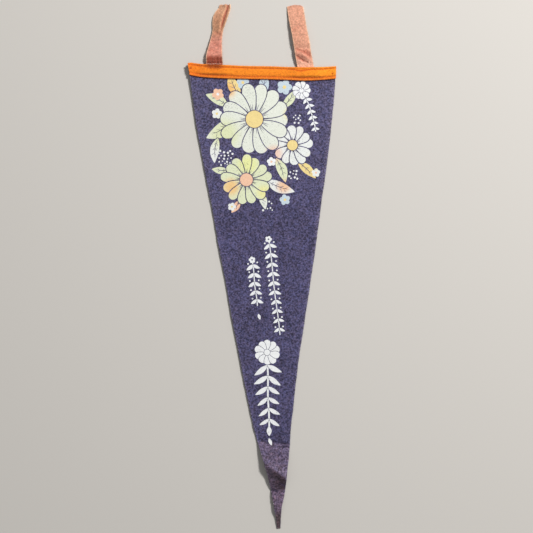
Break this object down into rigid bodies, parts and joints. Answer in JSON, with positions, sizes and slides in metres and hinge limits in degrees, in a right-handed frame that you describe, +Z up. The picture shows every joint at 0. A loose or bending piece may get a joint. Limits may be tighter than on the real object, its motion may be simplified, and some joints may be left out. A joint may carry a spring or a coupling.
{
  "type": "pennant flag",
  "caption": "Long tapering felt pennant lying face up, with a sewn heading band across its wide end, flat felt ties and a folded tail.",
  "frame": {"origin": "under the middle of the whole outline, on the surface the pennant lies on", "axes": "+X across the heading, +Y from tip to heading, +Z up from the surface, out of the printed face"},
  "size_m": [0.1482, 0.5236, 0.008],
  "materials": {
    "navy_felt": "matt heathered wool felt, printed on its face",
    "orange_felt": "matt wool felt, sewn along both edges",
    "terracotta_felt": "matt wool felt, faded"
  },
  "bodies": {
    "root": {"felt_body": "navy_felt", "heading_band": "orange_felt", "tie_left": "terracotta_felt", "tie_right": "terracotta_felt"}
  },
  "joints": []
}
